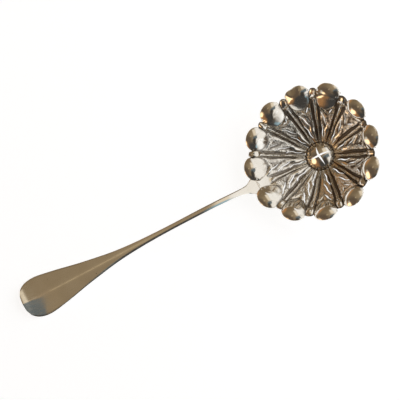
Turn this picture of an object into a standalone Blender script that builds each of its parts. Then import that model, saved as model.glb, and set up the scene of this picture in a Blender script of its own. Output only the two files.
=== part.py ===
"""Silver sugar sifter spoon: a lobed, pierced bowl soldered to a forged handle.

Metres, +Z up. The spoon lies on a table at z = 0 with its handle along -X and its bowl along +X, and it is
symmetric in plan about y = 0 except for the slanted slits in the bowl.
"""

import math

import bmesh
import bpy
from mathutils import Matrix, Vector

MM = 0.001

# Bowl, in its own frame: the rim plane is z = 0, the bowl's axis is +Z
SECTORS = 12
SHEET = 0.9 * MM
DOME_RADIUS = 7.2 * MM
DOME_HEIGHT = 4.6 * MM
FLOOR_DEPTH = 18.0 * MM
FLOOR_SLOPE = 0.49
WALL_CURVE = 5.6
LOBE_CENTRE = 31.7 * MM
LOBE_HALF_WIDTH = 5.9 * MM
LOBE_HALF_LENGTH = 5.5 * MM
LOBE_HEIGHT = 2.8 * MM
LOBE_FULLNESS = 0.65
RIB_HEIGHT = 1.2 * MM
RIB_END = 33.0 * MM
VALLEY_START = 30.5 * MM
VALLEY_END = 31.9 * MM
SEAM_RADIUS = 32.6 * MM
FLATTENED_RIB = 27.0 * MM
RIB_SHARE_AT_AXIS = 0.45
SLIT_WIDTH = 1.0 * MM
SLIT_END_SHARE = 0.35
CROSS_ARM = 4.6 * MM
CROSS_WIDTH = 0.9 * MM
CROSS_TURN = math.radians(8.0)

# Bowl on the table: it leans towards the handle and rests on the edge of its floor, which is worn flat
BOWL_CENTRE = Vector((67.3 * MM, 0.0, 20.0 * MM))
BOWL_LEAN = math.radians(21.0)

# Handle: x along the spoon, height of the middle, half width and thickness of each section
HANDLE_SECTIONS = [
    (-100.0 * MM, 2.6 * MM, 2.7 * MM, 1.2 * MM),
    (-99.0 * MM, 2.4 * MM, 5.5 * MM, 1.6 * MM),
    (-96.5 * MM, 1.85 * MM, 8.9 * MM, 1.9 * MM),
    (-92.3 * MM, 1.2 * MM, 10.8 * MM, 2.1 * MM),
    (-88.0 * MM, 0.9 * MM, 10.85 * MM, 2.1 * MM),
    (-83.0 * MM, 1.0 * MM, 10.25 * MM, 2.1 * MM),
    (-75.0 * MM, 1.75 * MM, 8.7 * MM, 2.1 * MM),
    (-66.0 * MM, 2.65 * MM, 6.8 * MM, 2.2 * MM),
    (-57.0 * MM, 3.7 * MM, 4.9 * MM, 2.3 * MM),
    (-48.0 * MM, 4.8 * MM, 3.4 * MM, 2.4 * MM),
    (-38.0 * MM, 6.0 * MM, 2.5 * MM, 2.5 * MM),
    (-26.0 * MM, 7.5 * MM, 1.95 * MM, 2.6 * MM),
    (-10.0 * MM, 9.3 * MM, 1.5 * MM, 2.6 * MM),
    (6.0 * MM, 10.9 * MM, 1.45 * MM, 2.6 * MM),
    (15.0 * MM, 11.3 * MM, 1.45 * MM, 2.5 * MM),
    (20.0 * MM, 11.1 * MM, 1.45 * MM, 2.3 * MM),
    (24.0 * MM, 10.4 * MM, 1.5 * MM, 2.0 * MM),
    (27.5 * MM, 9.3 * MM, 1.8 * MM, 1.8 * MM),
]
# Fan and tongue, in the bowl's frame: distance from the axis, half width, thickness, and how far the
# fan's front stands clear of the line that the tongue follows under the bowl
FAN_SECTIONS = [
    (38.2 * MM, 2.6 * MM, 1.6 * MM, 0.9 * MM),
    (36.4 * MM, 3.8 * MM, 1.5 * MM, 0.4 * MM),
    (34.6 * MM, 5.0 * MM, 1.4 * MM, 0.1 * MM),
    (32.6 * MM, 5.5 * MM, 1.3 * MM, 0.0),
    (30.0 * MM, 4.7 * MM, 1.2 * MM, 0.0),
    (28.0 * MM, 3.7 * MM, 1.1 * MM, 0.0),
    (26.0 * MM, 2.8 * MM, 1.0 * MM, 0.0),
    (24.6 * MM, 1.4 * MM, 0.8 * MM, 0.0),
]
SECTION_POINTS = 12
STEM_SQUARENESS = 2.4
BLADE_SQUARENESS = 4.4
FAN_SQUARENESS = 5.0
BLADE_HALF_WIDTH = 8.0 * MM
RIDGE_HEIGHT = 0.5 * MM
RIDGE_END = -62.0 * MM
RIDGE_FADE = 20.0 * MM

# Clearance that stands for the solder film between the pieces, and the solder's own size
JOINT_GAP = 0.3 * MM
BEAD_GAP = 1.3 * JOINT_GAP
FILLET = 1.1 * MM
FILLET_DROP = 0.88 * MM
SEAM_HALF_WIDTH = 1.3 * MM
SEAM_TOP = 0.2
BACK_BEAD_START = 29.0 * MM
BACK_BEAD_CENTRE = 28.5 * MM
BACK_BEAD_TURN = 0.6

# Resolution of the bowl's grid
STEPS_PER_SECTOR = 8
DOME_SEGMENTS = 24
PANEL_RINGS = [8.6 * MM, 11.5 * MM, 14.5 * MM, 17.5 * MM, 20.5 * MM, 23.5 * MM]
LOBE_RINGS = [0.0, 0.16, 0.42, 0.68, 0.88, 1.0]
DOME_RINGS = [0.95, 0.78, 0.52, 0.26]
SLIT_STATIONS = [0.0, 0.35, 0.7, 1.0]
SEAM_STATIONS = [-1.0, -0.5, 0.0, 0.5, 1.0]
SHARP_ANGLE = math.radians(40.0)
PITCH = 2.0 * math.pi / SECTORS
STEP = PITCH / STEPS_PER_SECTOR

# How far the cutters reach past the sheet, and the size of the slab that stands for the table
CUT_ABOVE = 1.2 * MM
CUT_BELOW = 2.6 * MM
TABLE_SIZE = 0.3

# Slits of one panel: radius and angle off the panel's axis, at the inner and the outer end
SLITS = [
    ((9.6 * MM, -2.0), (17.0 * MM, -9.5)),
    ((16.2 * MM, 2.0), (22.4 * MM, -8.0)),
    ((21.6 * MM, 1.5), (26.0 * MM, -7.5)),
    ((22.6 * MM, 2.8), (25.6 * MM, 7.0)),
]

BOWL_FRAME = Matrix.Translation(BOWL_CENTRE) @ Matrix.Rotation(-BOWL_LEAN, 4, "Y")


def clear_scene():
    for item in list(bpy.data.objects):
        bpy.data.objects.remove(item, do_unlink=True)


def silver(name, colour, roughness):
    material = bpy.data.materials.new(name)
    material.use_nodes = True
    shader = material.node_tree.nodes["Principled BSDF"]
    shader.inputs["Base Color"].default_value = (*colour, 1.0)
    shader.inputs["Metallic"].default_value = 1.0
    shader.inputs["Roughness"].default_value = roughness
    return material


def add_object(name, mesh_builder, material=None):
    """Turn a filled bmesh into a named, smooth object. Without a material it is a hidden cutter."""
    mesh = bpy.data.meshes.new(name)
    mesh_builder.to_mesh(mesh)
    mesh_builder.free()
    mesh.shade_smooth()
    mesh.set_sharp_from_angle(angle=SHARP_ANGLE)
    item = bpy.data.objects.new(name, mesh)
    bpy.context.collection.objects.link(item)
    if material:
        mesh.materials.append(material)
    else:
        item.hide_render = True
        item.display_type = "WIRE"
    return item


def loft(builder, rings):
    """Join closed rings of points into one capped tube."""
    loops = [[builder.verts.new(point) for point in ring] for ring in rings]
    count = len(loops[0])
    for first, second in zip(loops, loops[1:]):
        for i in range(count):
            j = (i + 1) % count
            builder.faces.new((first[i], first[j], second[j], second[i]))
    builder.faces.new(loops[0])
    builder.faces.new(loops[-1])
    bmesh.ops.recalc_face_normals(builder, faces=builder.faces)


def cut(item, cutter):
    modifier = item.modifiers.new(f"cut_{cutter.name}", "BOOLEAN")
    modifier.operation = "DIFFERENCE"
    modifier.solver = "EXACT"
    modifier.object = cutter


# Surface of the bowl
def wall_height(radius):
    """Front of the sunk sheet, without its relief."""
    out = radius - DOME_RADIUS
    return -FLOOR_DEPTH + FLOOR_SLOPE * out + WALL_CURVE * out * out


def wall_slope(radius):
    return math.atan(FLOOR_SLOPE + 2.0 * WALL_CURVE * (radius - DOME_RADIUS))


def on_wall(radius, angle, rise):
    """Point a distance above the wall, measured square to it."""
    slope = wall_slope(radius)
    out = radius - rise * math.sin(slope)
    height = wall_height(radius) + rise * math.cos(slope)
    return Vector((out * math.cos(angle), out * math.sin(angle), height))


def off_lobe(angle):
    """Angle from the nearest lobe's middle. A rib, not a lobe, faces the handle at pi."""
    return (angle % PITCH) - PITCH / 2.0


def on_rib(angle):
    """True on the line midway between two lobes."""
    return abs(off_lobe(angle)) > (PITCH - STEP) / 2.0


def at_handle(angle):
    return abs(angle - math.pi) < STEP / 2.0


def lobe_span(angle):
    """Inner and outer radius of the lobe, or of the rib's end beside it."""
    across = LOBE_CENTRE * math.sin(off_lobe(angle)) / LOBE_HALF_WIDTH
    if abs(across) < 1.0:
        reach = LOBE_HALF_LENGTH * math.cos(wall_slope(LOBE_CENTRE)) * math.sqrt(1.0 - across * across)
        return LOBE_CENTRE - reach, LOBE_CENTRE + reach
    if at_handle(angle):
        return VALLEY_START, SEAM_RADIUS
    return VALLEY_START, RIB_END if on_rib(angle) else VALLEY_END


def relief(radius, angle):
    """Height of lobes and ribs above the wall."""
    turn = off_lobe(angle)
    across = radius * math.sin(turn) / LOBE_HALF_WIDTH
    along = (radius * math.cos(turn) - LOBE_CENTRE) / math.cos(wall_slope(LOBE_CENTRE)) / LOBE_HALF_LENGTH
    from_lobe = across * across + along * along
    if from_lobe < 1.0:
        return LOBE_HEIGHT * (1.0 - from_lobe) ** LOBE_FULLNESS
    if not on_rib(angle) or radius <= DOME_RADIUS:
        return 0.0
    if at_handle(angle) and radius > FLATTENED_RIB:
        return 0.0
    return RIB_HEIGHT * (RIB_SHARE_AT_AXIS + (1.0 - RIB_SHARE_AT_AXIS) * radius / RIB_END)


def bowl_sheet():
    """Front surface of the bowl as a polar grid, coarser on the dome."""
    builder = bmesh.new()
    count = SECTORS * STEPS_PER_SECTOR
    rings = []
    for step in range(count):
        angle = STEP * step
        inner, outer = lobe_span(angle)
        radii = [DOME_RADIUS] + PANEL_RINGS + [inner + f * (outer - inner) for f in LOBE_RINGS]
        rings.append([builder.verts.new(on_wall(r, angle, relief(r, angle))) for r in radii])
    for step in range(count):
        first = rings[step]
        second = rings[(step + 1) % count]
        for k in range(len(first) - 1):
            builder.faces.new((first[k], first[k + 1], second[k + 1], second[k]))

    loops = []
    for fraction in DOME_RINGS:
        radius = DOME_RADIUS * fraction
        height = DOME_HEIGHT * math.sqrt(1.0 - fraction * fraction) - FLOOR_DEPTH
        loops.append([builder.verts.new((radius * math.cos(a), radius * math.sin(a), height))
                      for a in (2.0 * math.pi * s / DOME_SEGMENTS for s in range(DOME_SEGMENTS))])
    share = count // DOME_SEGMENTS
    for s in range(DOME_SEGMENTS):
        t = (s + 1) % DOME_SEGMENTS
        base = [rings[(s * share + k) % count][0] for k in range(share + 1)]
        half = share // 2
        for k in range(share):
            builder.faces.new((base[k], base[k + 1], loops[0][s if k < half else t]))
        builder.faces.new((base[half], loops[0][t], loops[0][s]))
        for outer, inner in zip(loops, loops[1:]):
            builder.faces.new((outer[s], outer[t], inner[t], inner[s]))
    builder.faces.new(loops[-1])
    return builder


def slit_cutter():
    """All slanted slits of the 12 panels, as prisms square to the wall."""
    builder = bmesh.new()
    for panel in range(SECTORS):
        axis = PITCH * (panel + 0.5)
        for (r_in, a_in), (r_out, a_out) in SLITS:
            left = []
            right = []
            for f in SLIT_STATIONS:
                radius = r_in + f * (r_out - r_in)
                ease = f * f * (3.0 - 2.0 * f)
                angle = axis - math.radians(a_in + ease * (a_out - a_in))
                swell = math.sin(math.pi * (0.12 + 0.76 * f))
                half = 0.5 * SLIT_WIDTH * (SLIT_END_SHARE + (1.0 - SLIT_END_SHARE) * swell)
                left.append((radius, angle - half / radius))
                right.append((radius, angle + half / radius))
            outline = left + right[::-1]
            loft(builder, [[on_wall(r, a, rise) for r, a in outline] for rise in (CUT_ABOVE, -CUT_BELOW)])
    return add_object("slit_cutter", builder)


def cross_cutter():
    """Cross-shaped slit in the top of the dome, its arms tapered to points."""
    builder = bmesh.new()
    half = 0.5 * CROSS_WIDTH
    outline = []
    for quarter in range(4):
        turn = Matrix.Rotation(quarter * math.pi / 2.0 + CROSS_TURN, 3, "Z")
        outline.append(turn @ Vector((CROSS_ARM, 0.0, 0.0)))
        outline.append(turn @ Vector((half, half, 0.0)))
    top = Vector((0.0, 0.0, DOME_HEIGHT - FLOOR_DEPTH + CUT_ABOVE))
    bottom = Vector((0.0, 0.0, -FLOOR_DEPTH - CUT_ABOVE))
    loft(builder, [[point + level for point in outline] for level in (top, bottom)])
    return add_object("cross_cutter", builder)


def table_cutter():
    """Slab under the table: it cuts the small flats that the spoon is worn to where it rests."""
    builder = bmesh.new()
    bmesh.ops.create_cube(builder, size=TABLE_SIZE)
    bmesh.ops.translate(builder, verts=builder.verts, vec=(0.0, 0.0, -TABLE_SIZE / 2.0))
    return add_object("table_cutter", builder)


def make_bowl(material, table):
    bowl = add_object("bowl", bowl_sheet(), material)
    bowl.matrix_world = BOWL_FRAME
    sheet = bowl.modifiers.new("sheet", "SOLIDIFY")
    sheet.thickness = SHEET
    sheet.offset = -1.0
    for cutter in (slit_cutter(), cross_cutter()):
        cutter.matrix_world = bowl.matrix_world
        cut(bowl, cutter)
    cut(bowl, table)
    return bowl


# Handle
def section_shape(squareness):
    """Unit section with round sides, flatter as squareness rises."""
    points = []
    for k in range(SECTION_POINTS):
        angle = 2.0 * math.pi * k / SECTION_POINTS
        across = math.copysign(abs(math.cos(angle)) ** (2.0 / squareness), math.cos(angle))
        up = math.copysign(abs(math.sin(angle)) ** (2.0 / squareness), math.sin(angle))
        points.append((across, up))
    return points


def handle_ring(x, height, half_width, thickness):
    breadth = min(half_width / BLADE_HALF_WIDTH, 1.0)
    squareness = STEM_SQUARENESS + (BLADE_SQUARENESS - STEM_SQUARENESS) * breadth
    ridge = RIDGE_HEIGHT * max(0.0, min(1.0, (RIDGE_END - x) / RIDGE_FADE))
    ring = []
    for across, up in section_shape(squareness):
        on_ridge = ridge if abs(across) < 0.01 and up > 0.0 else 0.0
        ring.append(Vector((x, across * half_width, height + up * 0.5 * thickness + on_ridge)))
    return ring


def under_bowl(distance, y, drop):
    """Point a distance behind the bowl's front, on the handle's side of the axis, in the table's frame."""
    radius = math.hypot(distance, y)
    height = wall_height(radius) - drop / math.cos(wall_slope(radius))
    return BOWL_FRAME @ Vector((-distance, y, height))


def fan_ring(distance, half_width, thickness, lift):
    ring = []
    for across, up in section_shape(FAN_SQUARENESS):
        drop = SHEET + JOINT_GAP - lift + 0.5 * thickness * (1.0 - up)
        ring.append(under_bowl(distance, across * half_width, drop))
    return ring


def make_handle(material, table):
    builder = bmesh.new()
    rings = [handle_ring(*section) for section in HANDLE_SECTIONS]
    rings += [fan_ring(*section) for section in FAN_SECTIONS]
    loft(builder, rings)
    handle = add_object("handle", builder, material)
    cut(handle, table)
    return handle


# Solder
def make_solder_front(material):
    """Triangular bead in the corner between the bowl's rim and the fan."""
    builder = bmesh.new()
    rings = []
    lean_out = math.sin(wall_slope(SEAM_RADIUS))
    edge = SEAM_RADIUS + BEAD_GAP
    top = SEAM_TOP * SHEET
    for share in SEAM_STATIONS:
        y = share * SEAM_HALF_WIDTH
        rings.append([
            under_bowl(edge + top * lean_out, y, top),
            under_bowl(edge + SHEET * lean_out, y, SHEET),
            under_bowl(edge + SHEET * lean_out + FILLET, y, SHEET),
        ])
    loft(builder, rings)
    return add_object("solder_front", builder, material)


def make_solder_back(material):
    """Triangular bead round the end of the tongue, under the bowl."""
    builder = bmesh.new()
    rings = []
    top = SHEET + JOINT_GAP
    outline = [(d, w) for d, w, _, _ in FAN_SECTIONS if d < BACK_BEAD_START]
    path = [(d, -w) for d, w in outline] + [(d, w) for d, w in reversed(outline)]
    centre = Vector((BACK_BEAD_CENTRE, 0.0))
    for distance, y in path:
        out = Vector((distance, y)) - centre
        out.x *= BACK_BEAD_TURN
        out.normalize()
        inner = Vector((distance, y)) + out * BEAD_GAP
        outer = inner + out * FILLET
        rings.append([
            under_bowl(inner.x, inner.y, top),
            under_bowl(outer.x, outer.y, top),
            under_bowl(inner.x, inner.y, top + FILLET_DROP),
        ])
    loft(builder, rings)
    return add_object("solder_back", builder, material)


def main():
    clear_scene()
    chased = silver("chased_silver", (0.66, 0.58, 0.47), 0.25)
    forged = silver("forged_silver", (0.70, 0.63, 0.52), 0.2)
    solder = silver("silver_solder", (0.68, 0.64, 0.56), 0.35)
    table = table_cutter()
    make_bowl(chased, table)
    make_handle(forged, table)
    make_solder_front(solder)
    make_solder_back(solder)


main()
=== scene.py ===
"""Looks of the silver sugar sifter: a chased, pierced bowl, a forged handle and the solder between them."""

import math
from collections import namedtuple
from functools import partial

import bpy
import numpy as np
from mathutils import Matrix, Vector
from mathutils.geometry import delaunay_2d_cdt


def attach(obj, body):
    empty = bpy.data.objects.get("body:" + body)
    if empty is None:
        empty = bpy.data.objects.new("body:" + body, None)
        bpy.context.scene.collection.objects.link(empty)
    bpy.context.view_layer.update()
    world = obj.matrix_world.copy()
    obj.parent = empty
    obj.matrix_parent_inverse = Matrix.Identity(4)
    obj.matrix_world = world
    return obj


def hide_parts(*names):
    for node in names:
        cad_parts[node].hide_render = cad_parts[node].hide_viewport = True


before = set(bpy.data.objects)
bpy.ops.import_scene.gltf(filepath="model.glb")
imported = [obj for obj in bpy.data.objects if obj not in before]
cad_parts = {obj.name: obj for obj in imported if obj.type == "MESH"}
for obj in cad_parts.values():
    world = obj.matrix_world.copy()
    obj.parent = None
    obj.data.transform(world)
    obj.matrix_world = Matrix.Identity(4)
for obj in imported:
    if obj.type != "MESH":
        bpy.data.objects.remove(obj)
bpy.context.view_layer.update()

MM = 0.001
FULL_TURN = 2.0 * math.pi

# Bowl in its own frame, in millimetres: the rim plane is z = 0, the axis is +Z and the far side is +X.
# A pair of radii is a band over which something starts, or ends if the larger one comes first.
SECTORS = 12
PITCH = FULL_TURN / SECTORS
HALF_PITCH = PITCH / 2.0
DOME_RADIUS = 7.4
DOME_EDGE = math.radians(41.0)
DOME_STEP = 0.25
DOME_HOLLOW = 0.92
FLOOR_DEPTH = 18.0
WALL_START = 7.2
FLOOR_SLOPE = 0.49
WALL_CURVE = 0.0056
SHEET = (0.9, 0.7)
SHEET_THINS = (10.0, 14.0)
SHEET_AT_RIM = 0.45
RIM_BAND = (30.5, 33.0)

# Bowl on the table
BOWL_CENTRE = Vector((67.3, 0.0, 20.0))
BOWL_LEAN = math.radians(21.0)
BOWL_FRAME = Matrix.Translation(BOWL_CENTRE) @ Matrix.Rotation(-BOWL_LEAN, 4, "Y")

# Lobes: oval in plan, slope of the edge, and lean and pivot on the handle's side and on the far side
LOBE_CENTRE = 31.7
LOBE_HALF_WIDTH = 6.35
LOBE_HALF_LENGTH = 5.5
LOBE_MEAN_RADIUS = 5.0
LOBE_EDGE = math.radians(48.0)
LOBE_TOP = LOBE_HALF_LENGTH * math.tan(LOBE_EDGE / 2.0)
LOBE_LEANS = (math.radians(3.0), math.radians(20.0))
LOBE_PIVOTS = (0.9, 0.85)
LOBE_HOLLOW = 0.9
# A lobe that flows into its panel: share of height lost at its edge, how suddenly, how far its cap sinks,
# where along the lobe that starts, and the apron beyond the edge
FLOW_FALL = 0.58
FLOW_POWER = 1.35
FLOW_SUNK = 0.35
FLOW_BAND = (0.15, -0.3)
APRON_WIDTH = 3.5
# Lobes counter-clockwise from the far side: millimetres off the even place outward and aside, width as a
# share, millimetres of reach into the panel, degrees of tip into the bowl, and how softly they flow
Lobe = namedtuple("Lobe", "outward aside width reach tip flow")
LOBES = [
    Lobe(-0.85, -0.5, 1.0, -1.881, 9.0, 0.05),
    Lobe(0.3, -0.15, 1.01, 1.425, 0.0, 1.0),
    Lobe(-0.3, 0.0, 1.06, 2.012, 0.0, 0.95),
    Lobe(-0.4, 0.3, 1.01, 1.888, 0.0, 0.95),
    Lobe(0.1, 0.0, 1.02, 0.826, 0.0, 1.0),
    Lobe(0.65, -0.7, 1.01, 1.422, 0.0, 0.98),
    Lobe(1.2, 0.2, 1.0, 2.322, 0.0, 0.98),
    Lobe(0.4, -1.0, 1.02, 2.027, 0.0, 0.75),
    Lobe(-0.5, -0.2, 1.02, 1.988, 0.0, 0.4),
    Lobe(-0.6, 0.0, 1.01, 0.412, 0.0, 0.1),
    Lobe(-0.1, 0.5, 1.01, -0.375, 0.0, 0.0),
    Lobe(-0.85, 0.0, 1.01, -1.581, 4.0, 0.02),
]
# Lobes that stay high in their panels: shares of height lost towards the panel and to the sides, tip aside,
# lift, and how far off the ribs they start
LONG_LOBES = {1: (-0.2, 0.42, 0.15, 0.32), 2: (0.15, 0.45, 0.1, 0.0), 3: (0.2, 0.4, 0.13, 0.0)}
LONG_LOBE_OFF_RIB = (0.4, 2.4)
# Skirt of a lobe, over which its lean fades
SKIRT_STARTS, SKIRT_POWER, BACK_SKIRT_ENDS = 0.6, 1.7, 0.92
# Dents in the top and the rim of one lobe: depth, where they start outward, and place and width across
DENTED_LOBE = 2
TOP_DENT = (0.7, (0.2, 0.9), (1.6, 2.6))
RIM_DENT = (0.8, (31.0, 35.5), (2.0, 2.4))
# Crescent round a lobe's foot: direction in which it is highest, height, where it starts and ends off the
# lobe, and the lines chased along it as height, distance and width
COLLARS_FACE = math.radians(-30.0)
LEAST_COLLAR, COLLAR_FALL = 0.2, 0.25
CRESCENT_HEIGHT = 0.4
CRESCENT_FADES = (31.5, 29.5)
CRESCENT_STARTS = (0.1, 0.5)
CRESCENT_ENDS = (2.5, 1.8)
CRESCENT_LINES = [(0.06, 1.5, 0.2), (-0.15, 2.8, 0.35)]

# Ribs: height and size at the dome and at the rim, where they start, sink and wander, and their grooves
RIB_HEIGHTS = (0.5, 1.15)
RIB_SIZES = (0.5, 1.0)
RIB_HALF_WIDTH = 0.85
RIB_FULL = 30.0
RIB_LEAVES_DOME = (7.4, 8.0)
RIB_SINKS = (32.0, 27.0)
RIB_WANDERS = (9.0, 13.0)
GROOVE_DEPTH = 0.55
GROOVE_OFF_RIB = 1.75
GROOVE_HALF_WIDTH = 0.85
# Round knob at the end of each rib
KNOB_TIP = 33.0
KNOB_MEETS_LOBE = math.radians(92.0)
KNOB_BLUNTNESS = 2.2
KNOB_CENTRE = 30.6
KNOB_HALF_LENGTH = 2.6
KNOB_HALF_WIDTH = 2.15
KNOB_EDGE = math.radians(52.0)
KNOB_LIFT = 0.3
KNOB_BAND = (26.5, 29.5)
# How far outward each rib's end is moved, counter-clockwise from the far rib
RIB_SHIFTS = [-1.2, 0.0, 0.7, 0.0, 0.2, 1.1, 0.0, 0.8, 0.0, -0.5, -0.5, -0.6]
# How far the pattern crowds towards the handle, in radians at the sides
CROWDING = 0.028
# Where lobes, their widths, rib ends and slits are moved, and how far slits sway with their lobe
LOBE_MOVES = (22.0, 28.0)
LOBE_WIDENS = (25.0, 29.0)
KNOB_MOVES = (26.0, 31.0)
SLITS_MOVE = (18.0, 6.0)
SLIT_SWAY = (1.2, 0.8)

# Joint with the handle: the panels beside it, each with the side that it is on, and the seam
HANDLE_SIDE = {5: 1.0, 6: -1.0}
PATTERN_ENDS = (28.0, 24.5)
SEAM_RADIUS = 32.6
SEAM_BLEND = 28.5
SEAM_CORNER = math.radians(0.8)

# Slits of one panel: radius and degrees off its axis at both ends, bow aside, width, strength of the leaf
SLITS = [
    ((9.6, 1.6), (17.0, 9.6), 0.6, 0.72, 1.0),
    ((16.0, -2.2), (22.6, 8.4), 0.6, 0.74, 1.0),
    ((21.6, -1.6), (26.2, 7.4), 0.45, 0.68, 1.0),
    ((22.6, -2.8), (25.6, -7.2), -0.2, 0.62, 0.6),
]
SLIT_STEPS = 22
# Shares of a slit's width at its tips, added at its belly, and added at the eye near its outer end
SLIT_TIPS, SLIT_BELLY, SLIT_EYE = 0.25, 0.55, 0.45
SLIT_SKEW = 0.8
SLIT_EYE_AT = (0.93, 0.07)
# How far open the slits of each panel are, as a share of their width
SLIT_OPEN = [0.9, 0.8, 0.85, 0.5, 0.45, 0.7, 1.0, 1.0, 0.95, 0.85, 0.9, 0.8]

# Leaf work: height of the open ground, and the folds beside a slit as height, distance and width
LEAF_HEIGHT = 0.3
LEAF_STARTS = (10.0, 14.0)
LEAF_FOLDS = [(0.22, -1.05, 0.7), (-0.18, 0.85, 0.6), (0.07, 2.0, 0.7)]
# Pointed blade on the dome's edge: height, turn off the panel's axis, half width, where it swells and ends
BLADE_HEIGHT = 0.6
BLADE_ASIDE = math.radians(3.0)
BLADE_HALF_WIDTH = (0.5, 0.95)
BLADE_WIDEST, BLADE_SWELL = 12.6, 3.0
BLADE_ENDS = (19.0, 13.0)
# Uneven hand work: height, cell and seed
RIB_WANDER = [(0.16, 4.5, 9.0)]
LEAF_UNEVEN = [(0.5, 2.6, 6.0)]
MATTING = [(0.07, 0.9, 1.0), (0.09, 2.2, 2.0)]
DENTS = [(0.05, 4.0, 3.0), (0.03, 2.2, 4.0), (0.012, 1.0, 5.0)]
# Crease round the dome, and shares of the front's relief that show on the back
CREASE = (-0.22, DOME_RADIUS + 0.1, 0.28)
RIB_BEHIND, GROOVE_BEHIND, LEAF_BEHIND = 0.7, 0.4, 0.3
# Wear on the handle's side, by the cosine of the direction, and what it takes off grooves and leaves
WORN_BETWEEN = (0.2, -0.8)
GROOVE_WEAR, LEAF_WEAR = 0.4, 0.35

# Cross in the dome: direction in degrees and reach of each arm, and its shape
CROSS_ARMS = [(-6.0, 6.2), (81.0, 4.9), (173.0, 5.4), (274.0, 5.5)]
CROSS_HALF_WIDTH = 0.5
CROSS_TIP = 0.03
CROSS_TAPER = 1.6
CROSS_BEND = 0.16
CROSS_CORNER = 1.25 * CROSS_HALF_WIDTH

# Tarnish: rounds of spreading that find hollows, film at a lobe's foot, and on far and near matted ground
FILM_ROUNDS = (8, 30)
FILM_STRENGTH, FILM_AT_DOME = 0.6, 0.35
FILM_GROWS = (9.0, 19.0)
FOOT_FILM = 0.34
FOOT_AT, FOOT_SIDE = (0.98, 0.08), (0.1, -0.4)
MATTED_FILM = (0.14, 0.12)

# Mesh of the bowl: spacing of points, and shares of a round form's size at which rings support its edge
GRID = 0.34
RIM_GRID = 0.8 * GRID
RING_GRID = 0.9 * GRID
SLIT_GAP = 0.55 * GRID
LEAST_AREA = 5e-5
CROSS_GAP = 0.5 * GRID
EDGE_RINGS = (0.985, 0.955, 0.915, 0.865, 0.805)
LOBE_CORE, DOME_CORE = 0.76, 0.82
LOBE_SQUARE = 6.0
PANEL_HALF_WIDTH = 9.0
FOOT_STEPS = 12
KNOB_STEPS = 20
CROSS_STEPS = 14
MIRRORED = (1.0, -1.0)


def part(value):
    return np.clip(value, 0.0, 1.0)


def smooth(start, end, value):
    """Eased step from 0 at start to 1 at end."""
    t = part((value - start) / (end - start))
    return t * t * (3.0 - 2.0 * t)


def bump(value, centre, width):
    """Rounded hump of height 1."""
    return np.exp(-(((value - centre) / width) ** 2))


def between(ends, share):
    return ends[0] + (ends[1] - ends[0]) * share


def panel_axis(sector):
    return (sector + 0.5) * PITCH


def faces_handle(u, sector):
    """True on the half of a panel that lies against the handle."""
    return u * HANDLE_SIDE.get(sector, 0.0) > 0.0


def wall_height(r):
    out = r - WALL_START
    return -FLOOR_DEPTH + FLOOR_SLOPE * out + WALL_CURVE * out * out


def wall_tilt(r):
    return np.arctan(FLOOR_SLOPE + 2.0 * WALL_CURVE * (r - WALL_START))


LOBE_PLAN_LENGTH = LOBE_HALF_LENGTH * float(np.cos(wall_tilt(LOBE_CENTRE)))
RIB_WAY = np.array([math.cos(HALF_PITCH), math.sin(HALF_PITCH)])
RIB_SIDE = np.array([-math.sin(HALF_PITCH), math.cos(HALF_PITCH)])


# Lines and points in plan
def polar(points):
    return np.hypot(points[:, 0], points[:, 1]), np.arctan2(points[:, 1], points[:, 0])


def flat(r, turn):
    return r * np.cos(turn), r * np.sin(turn)


def circle(count):
    """Points evenly round a circle of radius 1."""
    return np.stack(flat(1.0, FULL_TURN * np.arange(count) / count), -1)


def lengths(line, power=1.0):
    """Distance along a line at each of its points, each step raised to a power."""
    return np.concatenate([[0.0], np.cumsum(np.linalg.norm(np.diff(line, axis=0), axis=1) ** power)])


def evenly(line, spacing):
    """The same line with points an even distance apart."""
    length = lengths(line)
    at = np.linspace(0.0, length[-1], max(2, int(round(length[-1] / spacing)) + 1))
    return np.stack([np.interp(at, length, line[:, i]) for i in range(2)], -1)


def directions(line):
    """Unit vectors along a line, and the same turned to its left."""
    along = np.gradient(line, axis=0)
    along /= np.linalg.norm(along, axis=1, keepdims=True)
    return along, np.stack([-along[:, 1], along[:, 0]], -1)


def inside(points, outline):
    """True for points inside a closed outline."""
    x, y = points[:, 0], points[:, 1]
    result = np.zeros(len(points), bool)
    for (x0, y0), (x1, y1) in zip(outline, np.roll(outline, -1, axis=0)):
        crosses = (y0 > y) != (y1 > y)
        if y0 != y1:
            result ^= crosses & (x < (x1 - x0) * (y - y0) / (y1 - y0) + x0)
    return result


def hexagons(low, high, spacing):
    """Staggered grid of points over a rectangle."""
    rows = np.arange(low[1], high[1], spacing * math.sqrt(3.0) / 2.0)
    columns = np.arange(low[0], high[0], spacing)
    x, y = np.meshgrid(columns, rows)
    x[1::2] += spacing / 2.0
    return np.stack([x.ravel(), y.ravel()], -1)


def clear_of(points, others, gap):
    """Those points that keep a gap from the others."""
    return points[np.linalg.norm(points[:, None] - others, axis=2).min(1) > gap]


def triangulate(loops, lines, loose):
    """Triangles over the points that keep every loop and line as edges, without slivers."""
    points, edges = [], []
    for path, closed in [(loop, 1) for loop in loops] + [(line, 0) for line in lines]:
        first, count = len(points), len(path)
        points += path.tolist()
        edges += [(first + i, first + (i + 1) % count) for i in range(count - 1 + closed)]
    found = delaunay_2d_cdt([Vector(p) for p in points + loose.tolist()], edges, [], 0, 1e-5)
    points, faces = np.array([tuple(p) for p in found[0]]), np.array(found[2])
    first, second = (points[faces[:, i]] - points[faces[:, 0]] for i in (1, 2))
    area = 0.5 * (first[:, 0] * second[:, 1] - first[:, 1] * second[:, 0])
    return points, faces[area > LEAST_AREA]


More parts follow.
